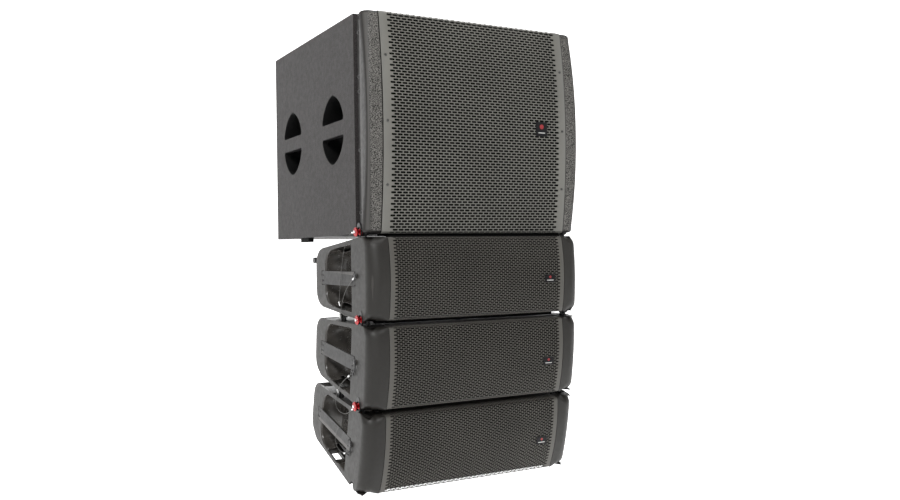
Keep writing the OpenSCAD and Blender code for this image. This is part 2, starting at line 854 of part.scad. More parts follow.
sub_cabinet();
sub_hand_cups();
sub_cheeks();
sub_grille();
sub_rails();
sub_rail_bolts();
sub_grille_screws();
sub_driver();
sub_cone();
sub_input_plate();
sub_skids();
sub_rear_link();
sub_badge();
for (k = [0 : 2]) {
    hang(k) cabinet();
    hang(k) side_panels();
    hang(k) grille();
    hang(k) handle_bars();
    hang(k) rigging(k);
    hang(k) woofers();
    hang(k) cones();
    hang(k) horn();
    hang(k) input_plate();
    hang(k) badge();
    pin_left(k);
    pin_right(k);
    button_left(k);
    button_right(k);
}
rear_bar();
lanyard(0, lanyard_1);
lanyard(0, lanyard_2);
lanyard(1, lanyard_3);
lanyard(2, lanyard_4);
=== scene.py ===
import json
import math

import bmesh
import bpy
import numpy as np
from mathutils import Matrix, Vector


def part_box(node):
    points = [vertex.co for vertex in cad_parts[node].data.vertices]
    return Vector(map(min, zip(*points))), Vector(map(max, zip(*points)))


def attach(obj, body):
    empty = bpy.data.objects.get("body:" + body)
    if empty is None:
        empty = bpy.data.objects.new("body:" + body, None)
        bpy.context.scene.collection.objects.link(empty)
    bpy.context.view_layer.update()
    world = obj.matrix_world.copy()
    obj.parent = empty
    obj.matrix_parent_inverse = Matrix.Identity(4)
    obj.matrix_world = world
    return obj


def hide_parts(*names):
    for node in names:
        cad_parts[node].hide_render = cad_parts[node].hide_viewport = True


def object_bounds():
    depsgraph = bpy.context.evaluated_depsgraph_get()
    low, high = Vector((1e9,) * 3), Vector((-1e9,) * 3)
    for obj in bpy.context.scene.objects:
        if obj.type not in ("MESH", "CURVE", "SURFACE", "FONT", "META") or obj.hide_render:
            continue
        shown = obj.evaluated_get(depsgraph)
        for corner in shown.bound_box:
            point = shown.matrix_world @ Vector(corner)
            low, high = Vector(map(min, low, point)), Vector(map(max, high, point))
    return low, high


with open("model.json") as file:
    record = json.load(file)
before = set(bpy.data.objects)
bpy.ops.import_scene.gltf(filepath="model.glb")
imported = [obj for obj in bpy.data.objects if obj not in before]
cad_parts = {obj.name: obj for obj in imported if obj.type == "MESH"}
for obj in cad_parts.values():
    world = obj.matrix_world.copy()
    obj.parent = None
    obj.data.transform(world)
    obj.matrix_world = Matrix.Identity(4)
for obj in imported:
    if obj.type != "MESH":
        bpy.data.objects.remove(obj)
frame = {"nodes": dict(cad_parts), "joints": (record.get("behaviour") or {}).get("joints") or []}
cad_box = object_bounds()
nodes = frame["nodes"]
joints = {j["name"]: j for j in frame["joints"]}

# Pieces are drawn in millimetres, the bass box in the row frame and each element in its own frame,
# whose origin is on its top pins. The camera, the studio and the materials use metres.
MM = 0.001
ROW = Matrix.Scale(MM, 4)
ELEMENTS = (1, 2, 3)


def hang(k):
    """An element's frame at rest, leaning as its cones' axis does."""
    axis = joints[f"cone_travel_{k}"]["axis"]
    lean = math.atan2(-axis[2], -axis[1])
    return Matrix.Translation(joints[f"splay_{k}"]["pos_m"]) @ Matrix.Rotation(lean, 4, "X") @ ROW


HANG = {k: hang(k) for k in ELEMENTS}

SIDE = 350.0
PLATE_PROUD = 3.0

# The bass box. Its front bows by SUB_BOW, and its cheeks start at SUB_CHEEK.
SUB_H = 613.0
SUB_FRONT = -71.0
SUB_SEAM = -47.0
SUB_BOW = 24.0
SUB_REAR = 698.0
SUB_CHEEK = SIDE - 45
HAND_HOLE_Y = (183.0, 533.0)
HAND_HOLE_Z = 309.0 - SUB_H
RAIL_BOLT_Z = (-57, -179, -220, -382, -554)
GRILLE_SCREW_Z = (-125, -306, -480)

# An element, which tapers to the rear by WEDGE at its top and bottom
BOX_TOP = -15.0
BOX_LOW = -244.0
BOX_MID = (BOX_TOP + BOX_LOW) / 2
BOX_REAR = 352.0
FRONT = -72.0
SEAM = -59.0
BOX_BOW = 13.0
GRILLE_BACK = -28.0
CHEEK = 291.0
CHEEK_ROUND = 38.0
WEDGE = math.radians(5.3)
POCKET_Y = (58.0, 260.0)
RIM = 12.0
POCKET_DEPTH = 60.0
LINK_REACH = 165
LINK_LEAN = math.radians(5)


# ---------------------------------------------------------------- camera

def camera():
    """The photograph's viewpoint: to the front left, at the height of the first element."""
    az, pitch, roll = (math.radians(a) for a in (-29.06, 0.25, -0.88))
    forward = Vector((-math.sin(az) * math.cos(pitch), math.cos(az) * math.cos(pitch), math.sin(pitch)))
    right = Vector((math.cos(az), math.sin(az), 0))
    up = right.cross(forward)
    x = right * math.cos(roll) + up * math.sin(roll)
    y = -right * math.sin(roll) + up * math.cos(roll)
    data = bpy.data.cameras.new("camera")
    data.lens = 35.96
    data.sensor_width = 36.0
    data.clip_end = 100.0
    cam = bpy.data.objects.new("camera", data)
    bpy.context.scene.collection.objects.link(cam)
    place = (-1.3331, -2.28345, -0.67139)
    turn = Matrix((x, y, -forward)).transposed().to_4x4()
    cam.matrix_world = Matrix.Translation(place) @ turn
    bpy.context.scene.camera = cam


# ---------------------------------------------------------------- materials

class Nodes:
    """A small helper round one material's node tree."""

    def __init__(self, name):
        self.mat = bpy.data.materials.new(name)
        self.mat.use_nodes = True
        self.tree = self.mat.node_tree
        self.shader = self.tree.nodes["Principled BSDF"]
        self.coords = self.add("ShaderNodeTexCoord").outputs["Object"]

    def add(self, kind, **values):
        node = self.tree.nodes.new(kind)
        for key, value in values.items():
            setattr(node, key, value)
        return node

    def link(self, a, b):
        self.tree.links.new(a, b)

    def noise(self, scale, detail=3.0, rough=0.5, stretch=None):
        tex = self.add("ShaderNodeTexNoise")
        tex.inputs["Scale"].default_value = scale
        tex.inputs["Detail"].default_value = detail
        tex.inputs["Roughness"].default_value = rough
        source = self.coords
        if stretch:
            mapping = self.add("ShaderNodeMapping")
            mapping.inputs["Scale"].default_value = stretch
            self.link(self.coords, mapping.inputs["Vector"])
            source = mapping.outputs["Vector"]
        self.link(source, tex.inputs["Vector"])
        return tex.outputs["Fac"]

    def voronoi(self, scale):
        tex = self.add("ShaderNodeTexVoronoi")
        tex.inputs["Scale"].default_value = scale
        self.link(self.coords, tex.inputs["Vector"])
        return tex.outputs["Distance"]

    def remap(self, value, low, high, to_low, to_high):
        node = self.add("ShaderNodeMapRange")
        for key, number in zip(("From Min", "From Max", "To Min", "To Max"), (low, high, to_low, to_high)):
            node.inputs[key].default_value = number
        self.link(value, node.inputs["Value"])
        return node.outputs["Result"]

    def mix(self, fac, a, b):
        node = self.add("ShaderNodeMix", data_type="RGBA")
        self.link(fac, node.inputs["Factor"])
        for key, value in (("A", a), ("B", b)):
            socket = [s for s in node.inputs if s.name == key and s.type == "RGBA"][0]
            if isinstance(value, tuple):
                socket.default_value = (*value, 1.0)
            else:
                self.link(value, socket)
        return [s for s in node.outputs if s.type == "RGBA"][0]

    def edges(self):
        """1 on outer edges and corners, 0 elsewhere."""
        geometry = self.add("ShaderNodeNewGeometry")
        return self.remap(geometry.outputs["Pointiness"], 0.52, 0.60, 0.0, 1.0)

    def part(self, vector, axis):
        split = self.add("ShaderNodeSeparateXYZ")
        self.link(vector, split.inputs[0])
        return split.outputs[axis]

    def calculate(self, operation, *values):
        node = self.add("ShaderNodeMath", operation=operation)
        for socket, value in zip(node.inputs, values):
            self.link(value, socket)
        return node.outputs[0]

    def blotches(self, scale, dark, light):
        return self.mix(self.remap(self.noise(scale, 4.0), 0.3, 0.7, 0.0, 1.0), dark, light)

    def color(self, value):
        self.link(value, self.shader.inputs["Base Color"])

    def gloss(self, low, high):
        """Roughness that wanders finely between two values."""
        self.link(self.remap(self.noise(90.0), 0.3, 0.7, low, high), self.shader.inputs["Roughness"])

    def bump(self, height, strength, distance):
        node = self.add("ShaderNodeBump")
        node.inputs["Strength"].default_value = strength
        node.inputs["Distance"].default_value = distance
        self.link(height, node.inputs["Height"])
        self.link(node.outputs["Normal"], self.shader.inputs["Normal"])


def finish(name, color, rough, spread=0.06, metal=0.0, grain=None, shade=0.12, edge_highlight=None, spec=0.5):
    """A finish with uneven colour and gloss, bumps from (scale, strength, distance), and a painted highlight
    on edges and corners.
    """
    n = Nodes(name)
    dark = tuple(c * (1 - shade) for c in color)
    light = tuple(min(1.0, c * (1 + shade)) for c in color)
    tone = n.blotches(7.0, dark, light)
    # Another colour on outer edges and corners: a painted highlight
    if edge_highlight:
        tone = n.mix(n.edges(), tone, edge_highlight)
    n.color(tone)
    n.gloss(rough - spread, rough + spread)
    n.shader.inputs["Metallic"].default_value = metal
    n.shader.inputs["Specular IOR Level"].default_value = spec
    if grain:
        scale, strength, distance = grain
        n.bump(n.noise(scale, 4.0, 0.6), strength, distance)
    return n.mat


def brushed(name, color, rough):
    n = Nodes(name)
    lines = n.noise(60.0, 5.0, 0.6, stretch=(1.0, 14.0, 14.0))
    n.color(n.mix(lines, tuple(c * 0.8 for c in color), color))
    n.link(n.remap(lines, 0.3, 0.7, rough - 0.08, rough + 0.1), n.shader.inputs["Roughness"])
    n.shader.inputs["Metallic"].default_value = 1.0
    n.bump(lines, 0.15, 0.0003)
    return n.mat


def foam():
    n = Nodes("foam")
    cells = n.voronoi(900.0)
    n.color(n.mix(cells, (0.0008, 0.0008, 0.0008), (0.005, 0.005, 0.005)))
    n.shader.inputs["Roughness"].default_value = 1.0
    n.shader.inputs["Specular IOR Level"].default_value = 0.05
    n.bump(cells, 0.8, 0.001)
    return n.mat


def cabinet_paint():
    """Textured warm grey paint, and painted shade in the rigging channels, which lie in front of the shell:
    near black there.
    """
    n = Nodes("cabinet_paint")
    # Below this depth lie the rigging channels, which get near-black painted shade
    outside = n.remap(n.part(n.coords, "Y"), 0.0194, 0.0199, 0.0, 1.0)
    tone = n.blotches(7.0, (0.0150, 0.0130, 0.0128), (0.0185, 0.0163, 0.0160))
    speck = n.remap(n.noise(420.0, 2.0, 0.6), 0.40, 0.60, 0.0, 0.55)
    tone = n.mix(speck, tone, (0.050, 0.046, 0.045))
    # Near black in the channels: painted shade
    n.color(n.mix(outside, (0.004, 0.004, 0.004), tone))
    n.gloss(0.56, 0.68)
    n.shader.inputs["Specular IOR Level"].default_value = 0.3
    n.bump(n.noise(620.0, 4.0, 0.6), 0.35, 0.0006)
    return n.mat


def cheek_paint():
    """Coarse speckled paint on the front, plain on the side, and a pale painted highlight along the corner
    between them.
    """
    n = Nodes("cheek_paint")
    normal = n.add("ShaderNodeTexCoord").outputs["Normal"]
    sideways, forward = n.part(normal, "X"), n.part(normal, "Y")
    front = n.remap(forward, -0.97, -0.80, 1.0, 0.0)
    # Strongest where the surface faces halfway between front and side: the mask of the painted highlight on
    # the rounded corner
    both = n.calculate("ABSOLUTE", n.calculate("MULTIPLY", sideways, forward))
    corner = n.remap(both, 0.40, 0.50, 0.0, 0.7)
    speck = n.remap(n.noise(400.0, 2.0, 0.6), 0.43, 0.57, 0.0, 1.0)
    rough = n.mix(speck, (0.004, 0.004, 0.003), (0.155, 0.148, 0.137))
    plain = n.blotches(9.0, (0.012, 0.0105, 0.0095), (0.016, 0.0143, 0.0128))
    tone = n.mix(front, plain, rough)
    # The pale corner colour is a painted highlight
    n.color(n.mix(corner, tone, (0.085, 0.082, 0.077)))
    n.gloss(0.46, 0.58)
    n.shader.inputs["Specular IOR Level"].default_value = 0.35
    n.bump(n.noise(400.0, 3.0, 0.6), 0.5, 0.0010)
    return n.mat


def pin_finish():
    """Red anodised outside, brighter red on its edges as a painted highlight, and bare steel on the shank."""
    n = Nodes("red_anodised")
    outside = n.remap(n.calculate("ABSOLUTE", n.part(n.coords, "X")), 0.3424, 0.3427, 0.0, 1.0)
    # Brighter red on edges and corners: a painted highlight
    red = n.mix(n.edges(), (0.30, 0.004, 0.008), (0.60, 0.06, 0.06))
    n.color(n.mix(outside, (0.50, 0.50, 0.49), red))
    n.gloss(0.24, 0.36)
    n.shader.inputs["Metallic"].default_value = 0.8
    return n.mat


def materials():
    grain = (900.0, 0.12, 0.0004)
    return {
        "cabinet": cabinet_paint(),
        "cheek": cheek_paint(),
        "panel": finish("panel_plastic", (0.0150, 0.0135, 0.0113), 0.50, grain=grain,
                        edge_highlight=(0.036, 0.033, 0.030), spec=0.42),
        # Paler than the panel plastic that it is moulded with: the paleness is painted light in the pockets
        "bowl": finish("bowl_plastic", (0.052, 0.0475, 0.0425), 0.26, spread=0.02, shade=0.04, spec=0.6),
        # Near black: the cups' black plastic, darkened further as painted shade in the deep hand holes
        "cup": finish("cup_plastic", (0.003, 0.003, 0.003), 0.60, grain=grain, spec=0.2),
        "grille": finish("grille_steel", (0.135, 0.132, 0.117), 0.45, edge_highlight=(0.15, 0.148, 0.136)),
        "box_grille": finish("box_grille_steel", (0.084, 0.079, 0.069), 0.42, edge_highlight=(0.08, 0.077, 0.070),
                             spec=0.4),
        "bar": finish("bar_steel", (0.0120, 0.0110, 0.0106), 0.48, grain=grain, edge_highlight=(0.08, 0.075, 0.07),
                      spec=0.35),
        "rigging": finish("rigging_steel", (0.014, 0.014, 0.014), 0.42, grain=grain, edge_highlight=(0.06, 0.06, 0.06)),
        # Dark steel, made darker still as painted shade in its recessed channel
        "rail": finish("rail_steel", (0.009, 0.0078, 0.0070), 0.50, grain=grain, edge_highlight=(0.09, 0.085, 0.08),
                       spec=0.4),
        "black": finish("black_metal", (0.009, 0.009, 0.009), 0.40, grain=grain),
        "rubber": finish("rubber", (0.004, 0.004, 0.004), 0.85, grain=grain, spec=0.15),
        "cone": finish("cone_paper", (0.016, 0.016, 0.017), 0.85, grain=(300.0, 0.5, 0.0008)),
        "driver": finish("driver_metal", (0.045, 0.046, 0.05), 0.45, metal=0.8, grain=grain),
        "red": pin_finish(),
        "badge": finish("badge_plastic", (0.004, 0.004, 0.005), 0.35, spec=0.2),
        "mark_red": finish("mark_red", (0.24, 0.010, 0.014), 0.40),
        "mark_pale": finish("mark_pale", (0.48, 0.48, 0.47), 0.40),
        "blue": finish("socket_plastic", (0.02, 0.05, 0.13), 0.35, grain=grain),
        "bolt": brushed("bolt_steel", (0.55, 0.55, 0.54), 0.32),
        "dull": brushed("dull_steel", (0.13, 0.13, 0.127), 0.45),
        "chrome": brushed("button_steel", (0.80, 0.80, 0.79), 0.15),
        "wire": brushed("wire_steel", (0.15, 0.147, 0.14), 0.40),
        "rust": finish("rust_hole", (0.07, 0.024, 0.016), 0.7),
        "foam": foam(),
    }


# ---------------------------------------------------------------- building pieces

def piece(name, verts, faces, where, material, body, slot, sharp=35.0):
    """A mesh piece in place, riding on its body. Its edges over the sharp angle stay crisp."""
    mesh = bpy.data.meshes.new(name)
    mesh.from_pydata([where @ Vector(v) for v in verts], [], faces)
    mesh.validate()
    mesh.materials.append(material)
    for poly in mesh.polygons:
        poly.use_smooth = True
    mesh.set_sharp_from_angle(angle=math.radians(sharp))
    obj = bpy.data.objects.new(name, mesh)
    bpy.context.scene.collection.objects.link(obj)
    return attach(obj, body)


def join(parts):
    """One list of vertices and one of faces from several."""
    verts, faces = [], []
    for v, f in parts:
        start = len(verts)
        verts += list(v)
        faces += [[i + start for i in face] for face in f]
    return verts, faces


def loft(rings, n, closed=False):
    """Quads between neighbouring rings of n points, and from the last ring to the first if closed."""
    return [[i * n + j, i * n + (j + 1) % n, (i + 1) % rings * n + (j + 1) % n, (i + 1) % rings * n + j]
            for i in range(rings if closed else rings - 1) for j in range(n)]


def tube(rings, n):
    """The faces of a solid through rings of n points, with flat ends."""
    last = (rings - 1) * n
    return loft(rings, n) + [list(range(n))[::-1], list(range(last, last + n))]


def turned(faces):
    return [face[::-1] for face in faces]


def lathe(profile, turns, origin, axis, up=(0, 0, 1)):
    """A profile of (radius, height) turned about an axis through origin."""
    axis = Vector(axis).normalized()
    side = axis.cross(Vector(up)).normalized()
    other = axis.cross(side)
    verts, faces, rings = [], [], []
    for radius, height in profile:
        centre = Vector(origin) + axis * height
        if radius < 1e-6:
            rings.append([len(verts)])
            verts.append(centre)
            continue
        rings.append(list(range(len(verts), len(verts) + turns)))
        for i in range(turns):
            a = 2 * math.pi * i / turns
            verts.append(centre + (side * math.cos(a) + other * math.sin(a)) * radius)
    for low, high in zip(rings, rings[1:]):
        for i in range(turns):
            j = (i + 1) % turns
            if len(low) == 1 and len(high) > 1:
                faces.append([low[0], high[i], high[j]])
            elif len(high) == 1 and len(low) > 1:
                faces.append([low[i], low[j], high[0]])
            elif len(low) > 1:
                faces.append([low[i], low[j], high[j], high[i]])
    return verts, turned(faces)


def bolt_head(origin, axis, r, h, socket):
    """A domed head with a hexagonal socket, seen from outside along axis."""
    profile = [(0, 0), (r, 0), (r, h * 0.55), (r * 0.93, h * 0.8), (r * 0.75, h * 0.95), (socket, h),
               (socket * 0.96, h * 0.35), (0, h * 0.3)]
    return lathe(profile, 24, origin, axis)


def smooth_route(route, steps):
    """Catmull-Rom through the route's points."""
    p = [Vector(q) for q in route]
    n = len(p) - 1
    out = []
    for i in range(n):
        a, b, c, d = p[max(i - 1, 0)], p[i], p[i + 1], p[min(i + 2, n)]
        for s in range(steps):
            t = s / steps
            out.append(0.5 * (2 * b + (c - a) * t + (2 * a - 5 * b + 4 * c - d) * t * t
                              + (3 * b - a - 3 * c + d) * t ** 3))
    out.append(p[n])
    return out


def wire_rope(path, d, strands=6, sides=24, lay=9.0):
    """A tube whose surface has helical strands, with a pitch of lay diameters."""
    verts = []
    run = 0.0
    normal = Vector((1, 0, 0))
    for i, point in enumerate(path):
        tangent = (path[min(i + 1, len(path) - 1)] - path[max(i - 1, 0)]).normalized()
        normal = (normal - tangent * normal.dot(tangent)).normalized()
        other = tangent.cross(normal)
        if i:
            run += (point - path[i - 1]).length
        for j in range(sides):
            a = 2 * math.pi * j / sides
            twist = strands * (a - 2 * math.pi * run / (lay * d))
            radius = d / 2 * (0.93 + 0.07 * math.cos(twist))
            verts.append(point + (normal * math.cos(a) + other * math.sin(a)) * radius)
    return verts, tube(len(path), sides)


# ---------------------------------------------------------------- cords

LANYARDS = {
    1: (1, (0.09, 0.86), [
        (-356, 13, -2), (-356, 30, -1), (-355, 52, -5), (-354, 76, -18), (-353, 94, -36), (-353, 110, -66),
        (-353, 125, -111), (-353, 134, -149), (-353, 141, -181), (-352, 145, -198), (-348, 149, -208),
        (-347, 151, -212)
    ]),
    2: (1, (0.05,), [
        (-354, 27, -127), (-353, 46, -134), (-353, 69, -147), (-353, 97, -168), (-353, 113, -187),
        (-353, 126, -208), (-353, 130, -222), (-353, 116, -232), (-353, 79, -236), (-353, 46, -238),
        (-354, 15, -240)
    ]),
    3: (2, (0.05, 0.95), [
        (-354, 42, -161), (-353, 75, -178), (-353, 100, -193), (-353, 118, -207), (-353, 138, -226),
        (-353, 150, -245), (-353, 157, -266), (-353, 147, -281), (-353, 124, -288), (-353, 90, -286),
        (-353, 62, -277), (-353, 36, -262), (-354, 14, -249)
    ]),
    4: (3, (0.08,), [
        (-354, 48, -160), (-353, 62, -166), (-353, 85, -171), (-353, 109, -171), (-353, 124, -165),
        (-353, 131, -151), (-353, 130, -135), (-353, 124, -120), (-352, 117, -110), (-347, 113, -109.5)
    ]),
}
LANYARD_D = 1.5


def crimp(name, path, at, k, looks):
    """A pressed sleeve on a lanyard, centred at a share of its path."""
    i = min(max(int(at * (len(path) - 1)), 1), len(path) - 2)
    along = (path[i + 1] - path[i - 1]).normalized()
    h, r = 7.0, 3.0
    profile = [(0, -h), (r * 0.75, -h), (r, -h * 0.8), (r, -h * 0.35), (r * 0.86, -h * 0.25),
               (r * 0.86, h * 0.25), (r, h * 0.35), (r, h * 0.8), (r * 0.75, h), (0, h)]
    v, f = lathe(profile, 20, path[i], along, up=(1, 0, 0))
    return piece(name, v, f, HANG[k], looks["chrome"], f"element_{k}", "wire_steel")


def lanyards(looks):
    for number, (k, sleeves, route) in LANYARDS.items():
        path = smooth_route(route, 12)
        verts, faces = wire_rope(path, LANYARD_D)
        cord = piece(f"lanyard_wire_{number}", verts, faces, HANG[k], looks["wire"], f"element_{k}",
                     "wire_steel", sharp=60.0)
        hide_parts(f"lanyard_{number}")
        ends = [crimp(f"crimp_{number}_{i}", path, at, k, looks) for i, at in enumerate(sleeves)]


# ---------------------------------------------------------------- perforated grilles

def grille_profile(back, seam, bow, top, low, soften):
    """A bowed front's side view from its top return to its bottom one, as points and normals by length."""
    height = top - low
    radius = height * height / 8 / bow + bow / 2
    half = math.asin(height / 2 / radius)
    centre = (seam - bow + radius, (top + low) / 2)
    arc = [(centre[0] - radius * math.cos(a), centre[1] + radius * math.sin(a))
           for a in np.linspace(half, -half, 200)]
    line = np.array([(back, top)] + arc + [(back, low)])
    length = np.r_[0, np.cumsum(np.hypot(*np.diff(line, axis=0).T))]
    step = 0.5
    s = np.arange(0, length[-1], step)
    dense = np.stack([np.interp(s, length, line[:, i]) for i in (0, 1)], 1)
    window = int(soften / step) | 1
    pad = window // 2
    ends = np.vstack([2 * dense[0] - dense[pad:0:-1], dense, 2 * dense[-1] - dense[-2:-pad - 2:-1]])
    kernel = np.ones(window) / window
    soft = np.stack([np.convolve(ends[:, i], kernel, "valid") for i in (0, 1)], 1)
    tangent = np.gradient(soft, axis=0)
    tangent /= np.linalg.norm(tangent, axis=1)[:, None]
    s = np.r_[0, np.cumsum(np.hypot(*np.diff(soft, axis=0).T))]
    return s, soft, np.stack([tangent[:, 1], -tangent[:, 0]], 1)


def perforated(profile, wide, pitch, row, slot_w, slot_h, margin_x, margin_s, sheet):
    """A sheet of staggered slots across a profile: one cell round each slot, closed front and back."""
    s_all, points, normals = profile
    total = s_all[-1]
    count = int((2 * wide - 2 * margin_x) / pitch)
    rows = int((total - 2 * margin_s) / row)
    start = (total - rows * row) / 2
    verts, faces = [], []

    def add(x, s, layer):
        y, z = (np.interp(s, s_all, points[:, i]) for i in (0, 1))
        ny, nz = (np.interp(s, s_all, normals[:, i]) for i in (0, 1))
        verts.append((x, y - ny * sheet * layer, z - nz * sheet * layer))
        return len(verts) - 1

    left = -count * pitch / 2
    xs = [-wide] + [left + j * pitch / 2 for j in range(2 * count + 1)] + [wide]
    breaks = [0.0] + list(np.linspace(start / 3, start, 3)) + [start + i * row for i in range(1, rows)]
    breaks += list(np.linspace(total - start, total - start / 3, 3)) + [total]
    lines = [[[add(x, s, layer) for x in xs] for s in breaks] for layer in (0, 1)]
    # The slots' ends are squarer than half circles
    square = 0.7
    cap = [(abs(math.cos(a)) ** square, math.copysign(abs(math.sin(a)) ** square, math.sin(a)))
           for a in (math.radians(d) for d in (90, 54, 18, -18, -54, -90))]
    flat, r = (slot_w - slot_h) / 2, slot_h / 2

    def face(loop, layer):
        faces.append(loop if layer == 0 else loop[::-1])

    plain = 3
    for i in range(len(breaks) - 1):
        odd = (i - plain) % 2
        cells = set()
        if plain <= i < len(breaks) - 1 - plain:
            mid_s = (breaks[i] + breaks[i + 1]) / 2
            for col in range(count - odd):
                j = 1 + 2 * col + odd
                cells.update((j, j + 1))
                x = xs[j + 1]
                rims = []
                for layer in (0, 1):
                    top, low = lines[layer][i], lines[layer][i + 1]
                    right = [add(x + flat + r * c, mid_s - r * q, layer) for c, q in cap]
                    back = [add(x - flat - r * c, mid_s - r * q, layer) for c, q in cap]
                    high, foot = add(x, mid_s - r, layer), add(x, mid_s + r, layer)
                    face([top[j + 1], high, *right, foot, low[j + 1], low[j + 2], top[j + 2]], layer)
                    face([high, top[j + 1], top[j], low[j], low[j + 1], foot, *back[::-1]], layer)
                    rims.append([high, *right, foot, *back[::-1]])
                for a in range(len(rims[0])):
                    b = (a + 1) % len(rims[0])
                    faces.append([rims[0][a], rims[1][a], rims[1][b], rims[0][b]])
        for j in range(len(xs) - 1):
            if j not in cells:
                for layer in (0, 1):
                    top, low = lines[layer][i], lines[layer][i + 1]
                    face([top[j], low[j], low[j + 1], top[j + 1]], layer)
    front, rear = lines
    for j in range(len(xs) - 1):
        faces.append([front[0][j], front[0][j + 1], rear[0][j + 1], rear[0][j]])
        faces.append([front[-1][j + 1], front[-1][j], rear[-1][j], rear[-1][j + 1]])
    for i in range(len(breaks) - 1):
        faces.append([front[i][-1], front[i + 1][-1], rear[i + 1][-1], rear[i][-1]])
        faces.append([front[i + 1][0], front[i][0], rear[i][0], rear[i + 1][0]])
    return verts, faces


def foam_sheet(profile, wide, behind):
    """A plain closed sheet of foam just behind a grille."""
    s_all, points, normals = profile
    n, m, thick = 60, 24, 3.0
    rows = np.linspace(s_all[-1] * 0.03, s_all[-1] * 0.97, n)
    xs = np.linspace(-wide, wide, m)
    verts, faces = [], []
    for depth in (behind, behind + thick):
        for s in rows:
            y, z = (np.interp(s, s_all, points[:, i]) for i in (0, 1))
            ny, nz = (np.interp(s, s_all, normals[:, i]) for i in (0, 1))
            verts += [(x, y - ny * depth, z - nz * depth) for x in xs]
    for layer in (0, 1):
        for i in range(n - 1):
            for j in range(m - 1):
                p = layer * n * m + i * m + j
                quad = [p, p + m, p + m + 1, p + 1]
                faces.append(quad if layer == 0 else quad[::-1])
    rim = ([(0, j) for j in range(m)] + [(i, m - 1) for i in range(1, n)]
           + [(n - 1, j) for j in range(m - 2, -1, -1)] + [(i, 0) for i in range(n - 2, 0, -1)])
    for (a, b), (c, d) in zip(rim, rim[1:] + rim[:1]):
        p, q = a * m + b, c * m + d
        faces.append([p, q, q + n * m, p + n * m])
    return verts, faces


def grilles(looks):
    gap = 1.5
    wide = SUB_CHEEK - gap
    profile = grille_profile(back=-20.0, seam=SUB_SEAM, bow=SUB_BOW, top=-1.0, low=1 - SUB_H, soften=12.0)
    v, f = perforated(profile, wide, pitch=18.1, row=7.93, slot_w=15.7, slot_h=5.8, margin_x=19.0,
                      margin_s=12.0, sheet=0.9)
    sub = piece("sub_grille_sheet", v, f, ROW, looks["grille"], "sub", "grille_steel")
    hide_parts("sub_grille")
    v, f = foam_sheet(profile, wide - 3, behind=8.0)
    piece("sub_foam", v, f, ROW, looks["foam"], "sub", "cone_paper")
    wide = CHEEK - gap
    profile = grille_profile(back=GRILLE_BACK, seam=SEAM, bow=BOX_BOW, top=BOX_TOP, low=BOX_LOW, soften=14.0)
    slots = perforated(profile, wide, pitch=14.58, row=5.09, slot_w=12.6, slot_h=4.0, margin_x=9.0,
                       margin_s=6.0, sheet=0.7)
    padding = foam_sheet(profile, wide - 3, behind=7.0)
    for k in ELEMENTS:
        obj = piece(f"grille_sheet_{k}", *slots, HANG[k], looks["box_grille"], f"element_{k}", "grille_steel")
        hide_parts(f"grille_{k}")
        piece(f"foam_{k}", *padding, HANG[k], looks["foam"], f"element_{k}", "cone_paper")


# ---------------------------------------------------------------- moulded pockets

def top_z(y):
    return BOX_TOP - max(y, 0) * math.tan(WEDGE)


def low_z(y):
    return BOX_LOW + max(y, 0) * math.tan(WEDGE)


def round_corner(p, a, b, r, n=10):
    """An arc of n steps at corner p, from the side towards a to the side towards b."""
    u, v = (a - p).normalized(), (b - p).normalized()
    half = math.acos(max(-1, min(1, u.dot(v)))) / 2
    c = p + (u + v).normalized() * r / math.sin(half)
    s, e = p + u * r / math.tan(half) - c, p + v * r / math.tan(half) - c
    start = math.atan2(s.y, s.x)
    turn = (math.atan2(e.y, e.x) - start + math.pi) % (2 * math.pi) - math.pi
    return [c + Vector((math.cos(start + turn * i / n), math.sin(start + turn * i / n))) * r
            for i in range(n + 1)]


def pocket_outline(front, rear, rise, radius):
    """The pocket's outline in side view, drawn in by different amounts at its front, rear, top and bottom."""
    y0, y1 = POCKET_Y[0] + front, POCKET_Y[1] - rear
    p = [Vector((y0, low_z(POCKET_Y[0]) + RIM + rise)), Vector((y1, low_z(POCKET_Y[1]) + RIM + rise)),
         Vector((y1, top_z(POCKET_Y[1]) - RIM - rise)), Vector((y0, top_z(POCKET_Y[0]) - RIM - rise))]
    radii = (8.0, radius, radius, 8.0)
    out = []
    for i in range(4):
        corner = round_corner(p[i], p[i - 1], p[(i + 1) % 4], radii[i])
        out += corner
        nxt = round_corner(p[(i + 1) % 4], p[i], p[(i + 2) % 4], radii[(i + 1) % 4])[0]
        out += [corner[-1].lerp(nxt, t / 8) for t in range(1, 8)]
    return out


def over_slot(quad):
    """Whether a lining face lies over a rim's slot, which stays open for the rear link."""
    x, y, z = (sum(corner[axis] for corner in quad) / 4 for axis in range(3))
    beside_rim = min(top_z(y) - z, z - low_z(y)) < RIM + 14
    return beside_rim and 122 < y < 202 and abs(x) > 308


def pocket_bowl(side):
    """A bowl-shaped lining: straight at the front, and sweeping in at the rear, top and bottom."""
    verts = []
    levels = 14
    depth = POCKET_DEPTH - 1.0
    for i in range(levels + 1):
        t = i / levels * math.pi / 2
        sweep = 1 - math.cos(t)
        loop = pocket_outline(0.4 + 4 * sweep, 0.4 + 34 * sweep, 0.4 + 26 * sweep, 49.0 - 10 * sweep)
        x = side * (SIDE - 0.6 - (depth - 1.0) * math.sin(t))
        verts += [(x, q.x, q.y) for q in loop]
    n = len(loop)
    faces = [quad for quad in loft(levels + 1, n) if not over_slot([verts[v] for v in quad])]
    faces.append([levels * n + j for j in range(n)])
    return verts, faces if side > 0 else turned(faces)


